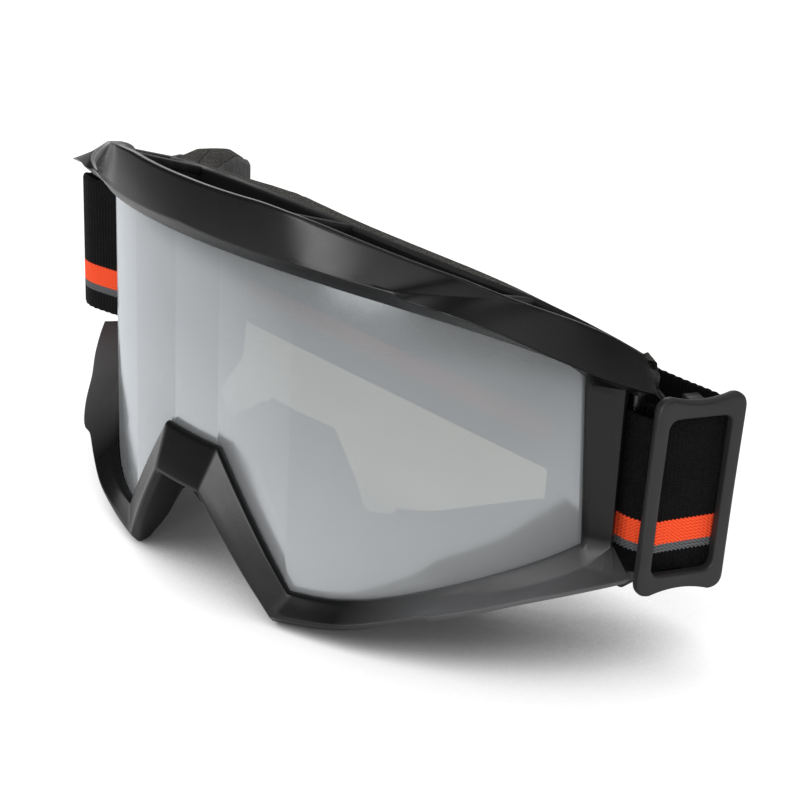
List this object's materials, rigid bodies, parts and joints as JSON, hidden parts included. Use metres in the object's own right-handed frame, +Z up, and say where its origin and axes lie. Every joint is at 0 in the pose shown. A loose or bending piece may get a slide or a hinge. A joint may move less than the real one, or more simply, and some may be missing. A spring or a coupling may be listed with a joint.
{
  "type": "motorcycle goggles",
  "caption": "Wide wrap-around goggles with a curved mirrored lens, slanted brow visor, padded face foam and an elastic strap run through three-bar sliders.",
  "frame": {"origin": "centre of the footprint, which is the middle of the bounding box seen from above, at the level the goggles rest on", "axes": "+X to the wearer's left, -Y the way the wearer looks, +Z up when worn"},
  "size_m": [0.1894, 0.0748, 0.0916],
  "materials": {
    "frame_gloss": "black moulded plastic, glossy with a fine moulded skin",
    "frame_matte": "black flexible plastic, satin",
    "lens": "silver mirror coating on a slightly see-through grey lens",
    "seal_rubber": "soft black gasket",
    "vent_foam": "open-cell filter foam, dark brown-grey",
    "face_foam": "dense face foam, speckled charcoal",
    "fleece": "short-pile fleece, near black",
    "pin_steel": "plain drawn steel",
    "webbing": "ribbed black elastic webbing with an orange and a grey woven stripe",
    "slider": "dark grey moulded nylon, fine matte texture",
    "grip_silicone": "satin silicone bead"
  },
  "bodies": {
    "frame": {"front_frame": "frame_gloss", "face_frame": "frame_matte", "lens": "lens", "lens_seal": "seal_rubber", "top_vent_foam": "vent_foam", "left_bottom_vent_foam": "vent_foam", "right_bottom_vent_foam": "vent_foam", "face_foam_base": "face_foam", "face_foam_soft": "face_foam", "face_fleece": "fleece", "left_strap_pin": "pin_steel", "right_strap_pin": "pin_steel"},
    "left_side": {"left_side_strap": "webbing"},
    "right_side": {"right_side_strap": "webbing"},
    "left_slide": {"left_slider": "slider"},
    "right_slide": {"right_slider": "slider"},
    "rear": {"rear_strap": "webbing", "upper_grip_line": "grip_silicone", "middle_grip_line": "grip_silicone", "lower_grip_line": "grip_silicone"}
  },
  "joints": [
    {"name": "left_strap_swing", "type": "hinge", "parent": "frame", "child": "left_side", "pos_m": [0.07751, 0.019, 0.0376], "axis": [0, 0, -1], "range_deg": [-8, 8]},
    {"name": "right_strap_swing", "type": "hinge", "parent": "frame", "child": "right_side", "pos_m": [-0.06849, 0.019, 0.0376], "axis": [0, 0, 1], "range_deg": [-8, 8]},
    {"name": "left_slider_travel", "type": "slide", "parent": "left_side", "child": "left_slide", "axis": [0.3907, 0.9205, 0], "range_m": [-0.002, 0.003]},
    {"name": "right_slider_travel", "type": "slide", "parent": "right_side", "child": "right_slide", "axis": [0.6561, 0.7547, 0], "range_m": [-0.001, 0.003]},
    {"name": "strap_stretch", "type": "slide", "parent": "frame", "child": "rear", "axis": [0, 1, 0], "range_m": [0, 0.09]}
  ]
}
